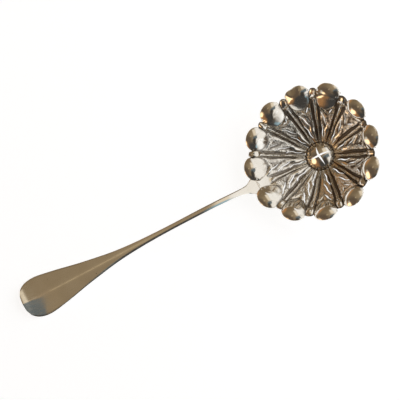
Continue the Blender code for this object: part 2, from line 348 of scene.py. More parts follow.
# Plan of one panel, from rib to rib, and of the dome, seen square to the rim
def slit_line(slit):
    """Middle of a slit as an S-curve in plan, with its half width and directions."""
    (r_in, a_in), (r_out, a_out), bow, width, _ = slit
    f = np.linspace(0.0, 1.0, SLIT_STEPS)
    r = r_in + f * (r_out - r_in)
    u = np.radians(a_in + smooth(0.0, 1.0, f) * (a_out - a_in))
    side = bow * np.sin(FULL_TURN * f)
    points = np.stack([r * np.cos(u), r * np.sin(u) + side], -1)
    belly, eye = np.sin(math.pi * f ** SLIT_SKEW), bump(f, *SLIT_EYE_AT)
    return points, 0.5 * width * (SLIT_TIPS + SLIT_BELLY * belly + SLIT_EYE * eye), *directions(points)


SLIT_LINES = [slit_line(slit) for slit in SLITS]


def slit_outline(points, half, along, left):
    across = left * half[:, None]
    tip_in = points[0] - along[0] * half[0]
    tip_out = points[-1] + along[-1] * half[-1]
    return np.concatenate([[tip_in], points + across, [tip_out], (points - across)[::-1]])


def over_lobe(points):
    """Distance of points from the lobe's middle, as a share of its size."""
    return np.hypot((points[:, 0] - LOBE_CENTRE) / LOBE_PLAN_LENGTH, points[:, 1] / LOBE_HALF_WIDTH)


def lobe_ring(share, spacing):
    """Points round the lobe's oval at a share of its size."""
    count = max(6, int(round(FULL_TURN * LOBE_HALF_WIDTH * share / spacing)))
    return circle(count) * (share * LOBE_PLAN_LENGTH, share * LOBE_HALF_WIDTH) + (LOBE_CENTRE, 0.0)


def rib_end():
    """Rim from the tip of a rib's knob to the lobe, the lobe's outline, and where they meet."""
    lobe = lobe_ring(1.0, RIM_GRID)
    meets = int(round(KNOB_MEETS_LOBE / FULL_TURN * len(lobe)))
    along, aside = lobe[meets] @ RIB_WAY, -lobe[meets] @ RIB_SIDE
    share = np.linspace(0.0, 1.0, KNOB_STEPS)
    ahead = KNOB_TIP + (along - KNOB_TIP) * share ** KNOB_BLUNTNESS
    knob = ahead[:, None] * RIB_WAY - (aside * share)[:, None] * RIB_SIDE
    return evenly(knob, RIM_GRID)[:-1], lobe, meets


def panel_plan():
    """Triangulated plan of one panel with its lobe, without the slits."""
    end, lobe, meets = rib_end()
    foot_u = np.linspace(-HALF_PITCH, HALF_PITCH, FOOT_STEPS + 1)
    foot = np.stack(flat(DOME_RADIUS, foot_u), -1)
    rib_r = np.linspace(DOME_RADIUS, KNOB_TIP, int((KNOB_TIP - DOME_RADIUS) / GRID))
    side = rib_r[1:-1, None] * RIB_WAY
    rim = np.concatenate([lobe[len(lobe) - meets:], lobe[:meets + 1]])
    border = np.concatenate([foot, side, end, rim[::-1], (end * MIRRORED)[::-1], (side * MIRRORED)[::-1]])
    lobe_foot = lobe[meets:len(lobe) - meets + 1]
    slits = [slit_outline(*line) for line in SLIT_LINES]

    rings = [lobe_ring(share, RING_GRID) for share in EDGE_RINGS]
    core = hexagons((LOBE_CENTRE - LOBE_SQUARE, -LOBE_SQUARE), (LOBE_CENTRE + LOBE_SQUARE, LOBE_SQUARE), GRID)
    core = core[over_lobe(core) < LOBE_CORE]
    ground = hexagons((DOME_RADIUS - 1.0, -PANEL_HALF_WIDTH), (KNOB_TIP, PANEL_HALF_WIDTH), GRID)
    ground = ground[inside(ground, border) & (over_lobe(ground) > 1.0)]
    for slit in slits:
        ground = ground[~inside(ground, slit)]
    ground = clear_of(ground, np.concatenate([border, lobe_foot] + slits), SLIT_GAP)

    points, faces = triangulate([border] + slits, [lobe_foot], np.concatenate(rings + [core, ground]))
    middle = points[faces].mean(1)
    keep = inside(middle, border)
    for slit in slits:
        keep &= ~inside(middle, slit)
    return points, faces[keep]


def dome_plan():
    """Triangulated plan of the dome, without the cross."""
    border = DOME_RADIUS * circle(SECTORS * FOOT_STEPS)
    cross = []
    for (degrees, reach), (following, _) in zip(CROSS_ARMS, CROSS_ARMS[1:] + CROSS_ARMS[:1]):
        turn = math.radians(degrees)
        ahead = np.array([math.cos(turn), math.sin(turn)])
        aside = np.array([-math.sin(turn), math.cos(turn)])
        f = np.linspace(0.12, 1.0, CROSS_STEPS)[1:]
        width = CROSS_HALF_WIDTH * (1.0 - f ** CROSS_TAPER) + CROSS_TIP
        bend = CROSS_BEND * np.sin(math.pi * f)
        right, left = (
            (f * reach)[:, None] * ahead + (bend + half)[:, None] * aside for half in (-width, width)
        )
        corner = math.radians(degrees + (following - degrees) % 360.0 / 2.0)
        corner = CROSS_CORNER * np.array([math.cos(corner), math.sin(corner)])
        cross.append(np.concatenate([right, left[::-1], [corner]]))
    cross = np.concatenate(cross)
    rings = [
        share * DOME_RADIUS * circle(int(FULL_TURN * DOME_RADIUS * share / GRID)) for share in EDGE_RINGS[:-1]
    ]
    core = hexagons((-DOME_RADIUS, -DOME_RADIUS), (DOME_RADIUS, DOME_RADIUS), GRID)
    core = core[np.linalg.norm(core, axis=1) < DOME_CORE * DOME_RADIUS]
    core = clear_of(core[~inside(core, cross)], cross, CROSS_GAP)
    points, faces = triangulate([border, cross], [], np.concatenate(rings + [core]))
    return points, faces[~inside(points[faces].mean(1), cross)]


# Relief of the bowl, as heights square to the wall
def round_cap(share, half_width, edge):
    """Height of a ball's cap at a share of its half width, from its slope at the edge."""
    ball = half_width / math.sin(edge)
    sine = np.clip(share * math.sin(edge), 0.0, math.sin(edge))
    return ball * (np.sqrt(1.0 - sine ** 2) - math.cos(edge))


def value_noise(x, y, seed):
    """Smooth noise from -1 to 1 with one random value per unit cell."""
    def cell(i, j):
        n = np.sin(i * 127.1 + j * 311.7 + seed * 74.7) * 43758.5453
        return 2.0 * (n - np.floor(n)) - 1.0
    i, j = np.floor(x), np.floor(y)
    fx, fy = smooth(0.0, 1.0, x - i), smooth(0.0, 1.0, y - j)
    low = cell(i, j) * (1.0 - fx) + cell(i + 1.0, j) * fx
    high = cell(i, j + 1.0) * (1.0 - fx) + cell(i + 1.0, j + 1.0) * fx
    return low * (1.0 - fy) + high * fy


def unevenness(x, y, layers):
    return sum(height * value_noise(x / cell, y / cell, seed) for height, cell, seed in layers)


def chased_lines(away, lines):
    return sum(height * bump(away, at, width) for height, at, width in lines)


def off_slits(x, y):
    """Signed distance to each slit's middle, and how far along it that is."""
    results = []
    place = np.stack([x, y], -1)
    for points, _, _, left in SLIT_LINES:
        away = np.full(len(x), np.inf)
        share = np.zeros(len(x))
        sign = np.ones(len(x))
        for i, point in enumerate(points):
            step = place - point
            distance = np.hypot(step[:, 0], step[:, 1])
            nearer = distance < away
            away = np.where(nearer, distance, away)
            share = np.where(nearer, i / (SLIT_STEPS - 1.0), share)
            sign = np.where(nearer, np.where(step @ left[i] > 0.0, 1.0, -1.0), sign)
        results.append((away * sign, share))
    return results


def lobe_relief(along, y, share, off_rib, sector):
    """Front and back of a lobe, and the height that runs out into its panel."""
    far = (0.5 + 0.5 * math.cos(panel_axis(sector))) ** 2
    lean = math.tan(between(LOBE_LEANS, far) - math.radians(LOBES[sector].tip))
    pivot = between(LOBE_PIVOTS, far)
    slope = lean * LOBE_HALF_LENGTH * (pivot - along)
    raised = lean * LOBE_HALF_LENGTH * pivot
    cap = round_cap(share, LOBE_HALF_LENGTH, LOBE_EDGE)
    flow = LOBES[sector].flow * smooth(*FLOW_BAND, along)
    if sector in LONG_LOBES:
        fall, round_off, tip, lift = LONG_LOBES[sector]
        flow = flow * smooth(*LONG_LOBE_OFF_RIB, off_rib)
        to_edge = np.maximum(share, 1.0)
        lost = fall * np.minimum(along, 0.0) ** 2 + round_off * (y / LOBE_HALF_WIDTH) ** 2
        flowing = (LOBE_TOP + raised) * (1.0 - lost / to_edge ** 2) + lift + tip * y / to_edge
        run_out = flowing
    else:
        soft_cap = LOBE_TOP * (1.0 - FLOW_FALL * share ** FLOW_POWER)
        flowing = np.maximum(soft_cap, cap - FLOW_SUNK) + raised * part(1.0 - share)
        run_out = LOBE_TOP * (1.0 - FLOW_FALL)
    skirt = part((share - SKIRT_STARTS) / (1.0 - SKIRT_STARTS)) ** SKIRT_POWER
    front_skirt = np.where(along < 0.0, 1.0 - skirt, 1.0)
    back_skirt = np.where(along < 0.0, smooth(BACK_SKIRT_ENDS, SKIRT_STARTS, share), 1.0)
    front = (1.0 - flow) * (cap + slope * front_skirt) + flow * flowing
    back = round_cap(share / LOBE_HOLLOW, LOBE_HALF_LENGTH, LOBE_EDGE)
    if sector == DENTED_LOBE:
        depth, start, across = TOP_DENT
        front = front - depth * smooth(*start, along) * bump(y, *across)
    return front, back + np.where(share < 1.0, slope * back_skirt, 0.0), flow * run_out


def rib_relief(r, off_rib, worn):
    """A rib with its knob, the groove beside it, and the distance outside that groove."""
    grown = part((r - DOME_RADIUS) / (RIB_FULL - DOME_RADIUS))
    size = between(RIB_SIZES, grown)
    start = smooth(*RIB_LEAVES_DOME, r)
    at_knob = smooth(*KNOB_BAND, r)
    crest = between(RIB_HEIGHTS, grown) * smooth(*RIB_SINKS, r) * start
    crest *= bump(off_rib, 0.0, RIB_HALF_WIDTH * size)
    from_knob = np.hypot((r - KNOB_CENTRE) / KNOB_HALF_LENGTH, off_rib / KNOB_HALF_WIDTH)
    knob = round_cap(from_knob, KNOB_HALF_WIDTH, KNOB_EDGE)
    knob += KNOB_LIFT * at_knob * smooth(1.1, 0.9, from_knob)
    groove_at = GROOVE_OFF_RIB * size + 0.5 * at_knob
    groove = -GROOVE_DEPTH * (1.0 - GROOVE_WEAR * worn) * size * start * (1.0 - 0.8 * at_knob)
    groove *= bump(off_rib, groove_at, GROOVE_HALF_WIDTH * size)
    return np.maximum(crest, knob), groove, off_rib - groove_at


def leaf_relief(r, u, gx, gy, beside, off_lobe, worn, sector):
    """Leaves between the slits, the blade on the dome's edge, and how matted the ground is."""
    ground_from = 1.0 + math.cos(panel_axis(sector))
    ground = smooth(0.0, 0.8, beside) * smooth(ground_from, ground_from + 0.8, off_lobe)
    ground *= smooth(*LEAF_STARTS, r)
    leaf = LEAF_HEIGHT * ground
    chased = smooth(-0.5, 0.3, beside) * (1.0 + unevenness(gx, gy, LEAF_UNEVEN)) * (1.0 - LEAF_WEAR * worn)
    for (*_, strength), (away, share) in zip(SLITS, off_slits(*flat(r, u))):
        fade = np.sin(math.pi * part(0.08 + 0.84 * share))
        leaf += strength * chased * fade * chased_lines(away, LEAF_FOLDS)
    blade_half = BLADE_HALF_WIDTH[0] + BLADE_HALF_WIDTH[1] * bump(r, BLADE_WIDEST, BLADE_SWELL)
    blade = part(1.0 - ((u + BLADE_ASIDE) * r / blade_half) ** 2)
    blade *= smooth(*RIB_LEAVES_DOME, r) * smooth(*BLADE_ENDS, r)
    matted = ground * (1.0 - part(2.0 * blade))
    return leaf + BLADE_HEIGHT * blade + matted * unevenness(gx, gy, MATTING), matted


def chasing(r, u, sector):
    """Heights of front, back and fine work over the wall, tarnish at the lobe's foot and matting."""
    x, y = flat(r, u)
    turn = u + panel_axis(sector)
    gx, gy = flat(r, turn)
    worn = smooth(*WORN_BETWEEN, np.cos(turn))
    wander = unevenness(gx, gy, RIB_WANDER) * smooth(*RIB_WANDERS, r)
    off_rib = np.abs(r * np.sin(HALF_PITCH - np.abs(u)) + np.sign(u) * wander)
    inward = LOBE_PLAN_LENGTH + LOBES[sector].reach
    along = (x - LOBE_CENTRE) / np.where(x < LOBE_CENTRE, inward, LOBE_PLAN_LENGTH)
    share = np.hypot(along, y / LOBE_HALF_WIDTH)
    outside = share >= 1.0
    off_lobe = np.where(outside, (share - 1.0) * LOBE_MEAN_RADIUS, 0.0)

    lobe, hollow, run_out = lobe_relief(along, y, share, off_rib, sector)
    rib, groove, beside = rib_relief(r, off_rib, worn)
    leaf, matted = leaf_relief(r, u, gx, gy, beside, off_lobe, worn, sector)
    facing = math.cos(panel_axis(sector) - COLLARS_FACE)
    collared = max(LEAST_COLLAR, (1.0 + COLLAR_FALL) * facing - COLLAR_FALL)
    crescent = CRESCENT_HEIGHT * smooth(*CRESCENT_STARTS, off_lobe) * smooth(*CRESCENT_ENDS, off_lobe)
    crescent = collared * smooth(*CRESCENT_FADES, x) * (crescent + chased_lines(off_lobe, CRESCENT_LINES))
    apron = run_out * part(1.0 - off_lobe / APRON_WIDTH) ** 1.5
    crease = chased_lines(r, [CREASE])

    kept = np.where(faces_handle(u, sector), smooth(*PATTERN_ENDS, r), 1.0)
    relief = (rib + groove + crescent + leaf) * kept
    fine = np.where(outside, relief, 0.0) + crease
    front = np.where(outside, relief + apron * kept, lobe) + crease
    behind = (RIB_BEHIND * rib + GROOVE_BEHIND * groove + LEAF_BEHIND * leaf) * kept
    back = np.where(outside, behind, 0.0) + hollow
    dents = unevenness(gx, gy, DENTS)
    foot = FOOT_FILM * collared * bump(share, *FOOT_AT) * smooth(*FOOT_SIDE, along)
    return front + dents, back + dents, fine, foot, np.where(outside, matted * kept, 0.0)


def hand_made(r, u, sector):
    """Places with lobes and slits moved off their even ones and slits closed a little."""
    x, y = flat(r, u)
    at = np.linspace(0.0, 1.0, SLIT_STEPS)
    for (_, half, _, left), (away, share) in zip(SLIT_LINES, off_slits(x, y)):
        pull = -np.sign(away) * np.interp(share, at, half) * (1.0 - SLIT_OPEN[sector])
        pull *= smooth(1.2, 0.35, np.abs(away))
        x = x + np.interp(share, at, left[:, 0]) * pull
        y = y + np.interp(share, at, left[:, 1]) * pull
    r, u = np.hypot(x, y), np.arctan2(y, x)
    off_axis = np.abs(u) / HALF_PITCH
    own = LOBES[sector]
    near_lobe = smooth(*LOBE_MOVES, r) * smooth(1.0, 2.0 / 3.0, off_axis)
    near_slits = bump(r, *SLITS_MOVE) * smooth(1.0, 0.5, off_axis)
    near_knob = smooth(*KNOB_MOVES, r) * smooth(0.7, 0.88, off_axis)
    out = near_lobe * own.outward + near_slits * SLIT_SWAY[0] * own.aside
    out += near_knob * np.where(u > 0.0, RIB_SHIFTS[(sector + 1) % SECTORS], RIB_SHIFTS[sector])
    side = near_lobe * own.aside - near_slits * SLIT_SWAY[1] * own.outward
    side += r * u * (own.width - 1.0) * smooth(*LOBE_WIDENS, r) * smooth(0.86, 0.72, off_axis)
    if sector == DENTED_LOBE:
        depth, start, across = RIM_DENT
        out -= depth * smooth(*start, r) * bump(r * u, *across)
    if sector in HANDLE_SIDE:
        end, lobe, meets = rib_end()
        end_r, end_u = polar(np.concatenate([end, lobe[meets:meets + 1]]))
        at_joint = faces_handle(u, sector) & (np.abs(u) > end_u[-1])
        rim_r = np.interp(np.abs(u), end_u[::-1], end_r[::-1])
        target = np.interp(np.abs(u), [end_u[-1], end_u[-1] + SEAM_CORNER], [end_r[-1], SEAM_RADIUS])
        reach = part((r - SEAM_BLEND) / (rim_r - SEAM_BLEND))
        out += np.where(at_joint, reach * (target - rim_r), 0.0)
    crowded = CROWDING * np.sin(u + panel_axis(sector)) * smooth(DOME_RADIUS, DOME_RADIUS + 4.0, r)
    return r + out, u + side / r + crowded


def on_table(x, y, height):
    """Points of the bowl's frame in the table's frame."""
    points = np.stack(np.broadcast_arrays(x, y, height, 1.0), -1)
    return (points @ np.array(BOWL_FRAME).T)[:, :3]


def bowl_points(r, turn, rise):
    """Points a distance square above the wall, in the table's frame."""
    tilt = smooth(DOME_RADIUS - 0.8, DOME_RADIUS, r) * wall_tilt(np.maximum(r, WALL_START))
    out = r - rise * np.sin(tilt)
    height = wall_height(np.maximum(r, WALL_START)) + rise * np.cos(tilt)
    return on_table(*flat(out, turn), height)


def under_bowl(distance, y, drop):
    """Points a distance behind the bowl's front on the handle's side, in the table's frame."""
    r = np.hypot(distance, y)
    return on_table(-distance, y, wall_height(r) - drop / np.cos(wall_tilt(r)))


# Meshes
def add_object(name, points, faces):
    """A mesh object in metres from points in millimetres."""
    mesh = bpy.data.meshes.new(name)
    mesh.from_pydata((np.asarray(points) * MM).tolist(), [], [list(map(int, f)) for f in faces])
    made = bpy.data.objects.new(name, mesh)
    bpy.context.scene.collection.objects.link(made)
    return made


def new_piece(name, points, faces, node, slot, sharp, values=None):
    """A smooth piece that stands for a CAD node."""
    piece = add_object(name, points, faces)
    mesh = piece.data
    for key, data in (values or {}).items():
        layer = mesh.attributes.new(key, "FLOAT", "POINT")
        layer.data.foreach_set("value", np.asarray(data, np.float32))
    mesh.shade_smooth()
    mesh.set_sharp_from_angle(angle=math.radians(sharp))
    mesh.validate()
    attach(piece, "root")
    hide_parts(node)
    return piece


def sides_of(faces):
    return np.concatenate([faces[:, [0, 1]], faces[:, [1, 2]], faces[:, [2, 0]]])


def neighbour_mean(values, edges, rounds):
    """Values spread along the mesh's edges."""
    count = np.bincount(edges.ravel(), minlength=len(values))
    for _ in range(rounds):
        total = np.bincount(edges[:, 0], values[edges[:, 1]], len(values))
        total += np.bincount(edges[:, 1], values[edges[:, 0]], len(values))
        values = total / np.maximum(count, 1)
    return values


def in_order(chosen, key):
    """Numbers of the chosen points, sorted by a key."""
    numbers = np.flatnonzero(chosen)
    return numbers[np.argsort(key[numbers])]


def join_panels(plan, dome):
    """Numbers in the bowl of each panel's points and of the dome's edge, and their total."""
    r, u = polar(plan)
    dome_r, dome_turn = polar(dome)
    on_dome = np.abs(r - DOME_RADIUS) < 1e-3
    ccw_side = in_order((np.abs(u - HALF_PITCH) < 1e-5) & ~on_dome, r)
    cw_side = in_order((np.abs(u + HALF_PITCH) < 1e-5) & ~on_dome, r)
    foot = in_order(on_dome, u)
    dome_edge = in_order(np.abs(dome_r - DOME_RADIUS) < 1e-3, dome_turn % (FULL_TURN - 1e-6))

    own = np.setdiff1d(np.arange(len(plan)), np.concatenate([cw_side, foot]))
    total = len(dome) + SECTORS * len(own)
    ids = np.full((SECTORS, len(plan)), -1)
    ids[:, own] = np.arange(len(dome), total).reshape(SECTORS, -1)
    ids[:, cw_side] = np.roll(ids[:, ccw_side], 1, axis=0)
    for sector in range(SECTORS):
        ids[sector, foot] = np.roll(dome_edge, -sector * (len(foot) - 1))[:len(foot)]
    return ids, dome_edge, total


def tarnish(fine, edges, r, turn, foot, matted):
    """Depth of each place in the fine work, with more film at the lobes' feet and on matted ground."""
    film = FILM_STRENGTH * sum(neighbour_mean(fine, edges, rounds) - fine for rounds in FILM_ROUNDS)
    film = film * between((FILM_AT_DOME, 1.0), smooth(*FILM_GROWS, r)) + foot
    film += 0.1 * smooth(6.4, 7.2, r) * smooth(7.9, 7.5, r)
    far_side, near_side = smooth(0.2, 0.9, np.cos(turn)), smooth(0.3, 0.9, -np.cos(turn + 0.3))
    return film + matted * (MATTED_FILM[0] * far_side + MATTED_FILM[1] * near_side)


def make_bowl():
    plan, plan_faces = panel_plan()
    dome, dome_faces = dome_plan()
    ids, dome_edge, total = join_panels(plan, dome)
    faces = np.concatenate([dome_faces] + [own[plan_faces] for own in ids])

    place_r, place_turn, front, back, fine, foot, matted, rim = np.zeros((8, total))
    r, u = polar(plan)
    for sector, own in enumerate(ids):
        place_r[own], moved_u = hand_made(r, u, sector)
        place_turn[own] = moved_u + panel_axis(sector)
        front[own], back[own], fine[own], foot[own], matted[own] = chasing(r, u, sector)
        rim[own] = smooth(0.8, 1.0, over_lobe(plan)) * smooth(*RIM_BAND, r)
    inner = np.setdiff1d(np.arange(len(dome)), dome_edge)
    place_r[inner], place_turn[inner] = polar(dome[inner])
    share = place_r[inner] / DOME_RADIUS
    step = DOME_STEP * smooth(1.0, 0.96, share)
    front[inner] = round_cap(share, DOME_RADIUS, DOME_EDGE) + step
    back[inner] = round_cap(share / DOME_HOLLOW, DOME_HOLLOW * DOME_RADIUS, DOME_EDGE) + step
    matted[dome_edge] = 0.0

    sheet = between(SHEET, smooth(*SHEET_THINS, place_r)) + (SHEET_AT_RIM - SHEET[1]) * rim
    top = bowl_points(place_r, place_turn, front)
    bottom = bowl_points(place_r, place_turn, np.minimum(back, front) - sheet)
    points = np.concatenate([top, bottom])
    points[:, 2] = np.maximum(points[:, 2], 0.0)

    sides = sides_of(faces)
    edges, which, uses = np.unique(np.sort(sides, axis=1), axis=0, return_inverse=True, return_counts=True)
    i, j = sides[uses[which.ravel()] == 1].T
    walls = np.stack([j, i, i + total, j + total], -1)
    all_faces = [*faces, *(faces[:, ::-1] + total), *walls]
    film = tarnish(fine, edges, place_r, place_turn, foot, matted)
    values = {
        "recess": np.concatenate([film, np.full(total, 0.05)]),
        "matted": np.concatenate([matted, 0.3 * matted]),
    }
    return new_piece("chased_bowl", points, all_faces, "bowl", "bowl_silver", 50.0, values)


# Handle: x along the spoon, height of the middle, half width, thickness, and bevels on the +Y and -Y sides
HANDLE_SECTIONS = [
    (-88.0, 0.92, 10.6, 2.1, 0.15, 0.15), (-83.0, 1.0, 9.92, 2.1, 0.18, 0.2),
    (-75.0, 1.75, 8.38, 2.1, 0.25, 0.35), (-66.0, 2.65, 6.42, 2.2, 0.35, 0.55),
    (-57.0, 3.7, 4.75, 2.3, 0.42, 0.75), (-48.0, 4.8, 3.25, 2.4, 0.48, 0.9),
    (-38.0, 6.0, 2.2, 2.5, 0.5, 0.9), (-26.0, 7.5, 1.57, 2.6, 0.5, 0.85),
    (-10.0, 9.3, 1.32, 2.6, 0.5, 0.8), (4.0, 10.7, 1.36, 2.6, 0.58, 0.82),
    (11.0, 11.05, 1.35, 2.5, 0.62, 0.8), (16.0, 10.95, 1.4, 2.4, 0.6, 0.74),
    (20.0, 10.6, 1.45, 2.25, 0.55, 0.65), (24.0, 9.95, 1.55, 2.0, 0.5, 0.5),
    (27.5, 9.05, 1.85, 1.8, 0.5, 0.45),
]
BEVEL_SLOPES = (0.62, 0.88)
# Upturned end: x, height of the middle, thickness
END_SECTIONS = [
    (-99.5, 2.66, 1.2), (-99.3, 2.59, 1.3), (-98.9, 2.46, 1.45), (-98.1, 2.21, 1.65), (-97.0, 1.9, 1.8),
    (-95.6, 1.6, 1.95), (-93.8, 1.34, 2.05), (-91.2, 1.06, 2.1),
]
END_X = -99.51
END_HALF_WIDTH = 10.6
END_ROUNDNESS = 2.6
END_BEVEL = 0.15
WIDEST_X = -88.0
# Roof along the handle: slope of its two faces, and how far from the ridge they cross the flat
ROOF_X = (-100.0, -92.0, -84.0, -75.0, -60.0, -48.0, 40.0)
ROOF_SLOPES = (0.15, 0.14, 0.1, 0.085, 0.075, 0.07, 0.04)
ROOF_LEVELS = (4.3, 4.3, 4.3, 3.5, 2.0, 0.5, 0.0)
# Half width over which the ridge is rounded, from the crisp end on
ROOF_ROUND_X = (-94.0, -82.0)
ROOF_ROUND = (0.1, 0.9)
# Fan and tongue in the bowl's frame: distance from the axis, half width, thickness, lift of the front
FAN_SECTIONS = [
    (38.2, 2.6, 1.65, 0.95), (36.4, 3.8, 2.0, 1.0), (34.6, 5.0, 2.3, 1.04), (33.0, 5.45, 2.4, 1.08),
]
TONGUE_SECTIONS = [
    (32.95, 5.45, 1.3, 0.0), (32.6, 5.5, 1.3, 0.0), (30.0, 4.7, 1.2, 0.0), (28.0, 3.7, 1.1, 0.0),
    (26.0, 2.8, 1.0, 0.0), (24.6, 1.4, 0.8, 0.0),
]
FAN_BEVELS = (0.55, 0.45)
JOINT_GAP = 0.3
CAD_SHEET = 0.9
# Points of a section on its top, at each corner and under it, and steps between sections
TOP_POINTS, CORNER_POINTS, BOTTOM_POINTS = 25, 7, 9
HANDLE_STEPS, TONGUE_STEPS = 8, 4

# Solder in the front joint: half length, reach over rim and fan, depth under the front and at its sag
SEAM_HALF_LENGTH = 2.6
SEAM_REACH = (-0.1, 0.75)
SEAM_DEPTH, SEAM_SAG, SEAM_BOTTOM = 0.06, 0.12, 0.1
SEAM_STEPS, SEAM_POINTS = 41, 7
# Solder round the tongue: where it ends, and its section as distance out from it and down the sheet
FILLET_ENDS = 31.0
FILLET_SECTION = np.array([
    (-0.35, 0.1), (-0.35, 0.85), (0.0, 0.85), (0.12, 0.62), (0.35, 0.36),
    (0.7, 0.16), (1.05, 0.05), (1.15, -0.1), (0.8, -0.2), (0.3, -0.2),
])
FILLET_TOP = CAD_SHEET + 0.05
FILLET_STEPS = 73
FILLET_THINS = 0.35


def section(half_width, thickness, bevels):
    """Closed section with a flat top and bevelled edges, as sideways and up from -1 to 1."""
    f = np.linspace(0.0, 1.0, CORNER_POINTS + 1)[1:]
    turn = 0.5 * math.pi * f
    under = min(0.75 * half_width, 0.6 * thickness)
    flats, corners = [], []
    for bevel, slope in zip(bevels, BEVEL_SLOPES):
        bevel = min(bevel, 0.9 * half_width)
        drop = 2.0 * min(bevel * slope, 0.6 * thickness) / thickness
        high = np.stack([half_width - bevel * (1.0 - f), 1.0 - drop * f], -1)
        low_side = half_width - under * (1.0 - np.cos(turn))
        low = np.stack([low_side, 1.0 - drop - (2.0 - drop) * np.sin(turn)], -1)
        flats.append(half_width - bevel)
        corners.append(np.concatenate([high, low]))
    share = np.linspace(-1.0, 1.0, TOP_POINTS)
    share = np.sign(share) * np.abs(share) ** 1.25
    top = np.stack([np.where(share > 0.0, *flats) * share, np.ones(TOP_POINTS)], -1)
    across = np.linspace(half_width - under, under - half_width, BOTTOM_POINTS + 2)[1:-1]
    bottom = np.stack([across, -np.ones(BOTTOM_POINTS)], -1)
    return np.concatenate([top, corners[0], bottom, (corners[1] * (-1.0, 1.0))[::-1]])


def end_half_width(x):
    reach = (WIDEST_X - x) / (WIDEST_X - END_X)
    return END_HALF_WIDTH * max(0.0, 1.0 - reach ** END_ROUNDNESS) ** (1.0 / END_ROUNDNESS)


def handle_ring(x, height, half_width, thickness, *bevels):
    side, up = section(half_width, thickness, bevels).T
    slope, level = np.interp(x, ROOF_X, ROOF_SLOPES), np.interp(x, ROOF_X, ROOF_LEVELS)
    ridge = np.hypot(side, np.interp(x, ROOF_ROUND_X, ROOF_ROUND))
    lift = slope * (level - ridge) * part(up)
    return np.stack([np.full(len(side), x), side, height + 0.5 * thickness * up + lift], -1)


def fan_ring(distance, half_width, thickness, lift):
    side, up = section(half_width, thickness, FAN_BEVELS).T
    return under_bowl(distance, side, CAD_SHEET + JOINT_GAP - lift + 0.5 * thickness * (1.0 - up))


def spline(knots, values, at):
    """Natural cubic spline through values at the knots."""
    n = len(knots)
    h = np.diff(knots)
    shape = values.shape
    values = values.reshape(n, -1)
    matrix = np.eye(n)
    right = np.zeros_like(values)
    for i in range(1, n - 1):
        matrix[i, i - 1:i + 2] = h[i - 1], 2.0 * (h[i - 1] + h[i]), h[i]
        right[i] = 6.0 * ((values[i + 1] - values[i]) / h[i] - (values[i] - values[i - 1]) / h[i - 1])
    bend = np.linalg.solve(matrix, right)
    i = np.clip(np.searchsorted(knots, at) - 1, 0, n - 2)
    hi = h[i][:, None]
    a = (knots[i + 1] - at)[:, None] / hi
    b = (at - knots[i])[:, None] / hi
    bent = ((a ** 3 - a) * bend[i] + (b ** 3 - b) * bend[i + 1]) * hi ** 2 / 6.0
    return (a * values[i] + b * values[i + 1] + bent).reshape((len(at),) + shape[1:])


def tube(rings):
    """Points and faces of a capped tube through rings of equal length."""
    rings = np.array(rings)
    ids = np.arange(rings[:, :, 0].size).reshape(rings.shape[:2])
    following = np.roll(ids, -1, axis=1)
    quads = np.stack([ids[:-1], following[:-1], following[1:], ids[1:]], -1).reshape(-1, 4)
    return rings.reshape(-1, 3), [*quads, ids[0, ::-1], ids[-1]]


def smooth_rings(rings, steps):
    """Rings on smooth lines through the given ones."""
    rings = np.array(rings)
    knots = lengths(rings[:, TOP_POINTS // 2], 0.8)
    at = [np.linspace(a, b, steps + 1)[:-1] for a, b in zip(knots, knots[1:])]
    return spline(knots, rings, np.concatenate(at + [knots[-1:]]))


def make_handle():
    rings = [
        handle_ring(x, height, end_half_width(x), thickness, END_BEVEL, END_BEVEL)
        for x, height, thickness in END_SECTIONS
    ]
    rings += [handle_ring(*values) for values in HANDLE_SECTIONS]
    rings += [fan_ring(*values) for values in FAN_SECTIONS]
    tongue = [fan_ring(*values) for values in TONGUE_SECTIONS]
    rings = np.concatenate([smooth_rings(rings, HANDLE_STEPS), smooth_rings(tongue, TONGUE_STEPS)])
    rings[:, :, 2] = np.maximum(rings[:, :, 2], 0.0)
    points, faces = tube(rings)
    return new_piece("forged_handle", points, [f[::-1] for f in faces], "handle", "handle_silver", 25.0)


def make_front_seam():
    """Solder in the joint between the bowl's rim and the fan, filed almost flush."""
    f = np.linspace(0.0, 1.0, SEAM_POINTS)
    distance = SEAM_RADIUS + between(SEAM_REACH, f)
    sag = SEAM_DEPTH + SEAM_SAG * np.sin(math.pi * f) ** 0.7
    rings = []
    for y in np.linspace(-SEAM_HALF_LENGTH, SEAM_HALF_LENGTH, SEAM_STEPS):
        below = under_bowl(distance[::-1], y, CAD_SHEET + SEAM_BOTTOM)
        rings.append(np.concatenate([under_bowl(distance, y, sag), below]))
    return new_piece("front_solder", *tube(rings), "solder_front", "solder", 40.0)


def make_back_fillet():
    """Solder round the end of the tongue, on the back of the bowl."""
    half = np.array([values[:2] for values in TONGUE_SECTIONS if values[0] < FILLET_ENDS])
    path = np.concatenate([half * MIRRORED, half[::-1]])
    knots = lengths(path)
    path = spline(knots, path, np.linspace(0.0, knots[-1], FILLET_STEPS))
    _, out = directions(path)
    rings = []
    for point, side, f in zip(path, out, np.linspace(-1.0, 1.0, FILLET_STEPS)):
        reach, drop = FILLET_SECTION.T * (1.0 - FILLET_THINS * f ** 4)
        places = point + side * reach[:, None]
        rings.append(under_bowl(places[:, 0], places[:, 1], FILLET_TOP + drop))
    return new_piece("back_solder", *tube(rings), "solder_back", "solder", 40.0)


# Materials
TARNISH = "#4a3a28"


def linear(hex_colour, strength=1.0):
    """sRGB hex to a linear colour, times a strength."""
    channels = [int(hex_colour[i:i + 2], 16) / 255.0 for i in (1, 3, 5)]
    channels = [c / 12.92 if c <= 0.04045 else ((c + 0.055) / 1.055) ** 2.4 for c in channels]
    return (*(strength * c for c in channels), 1.0)


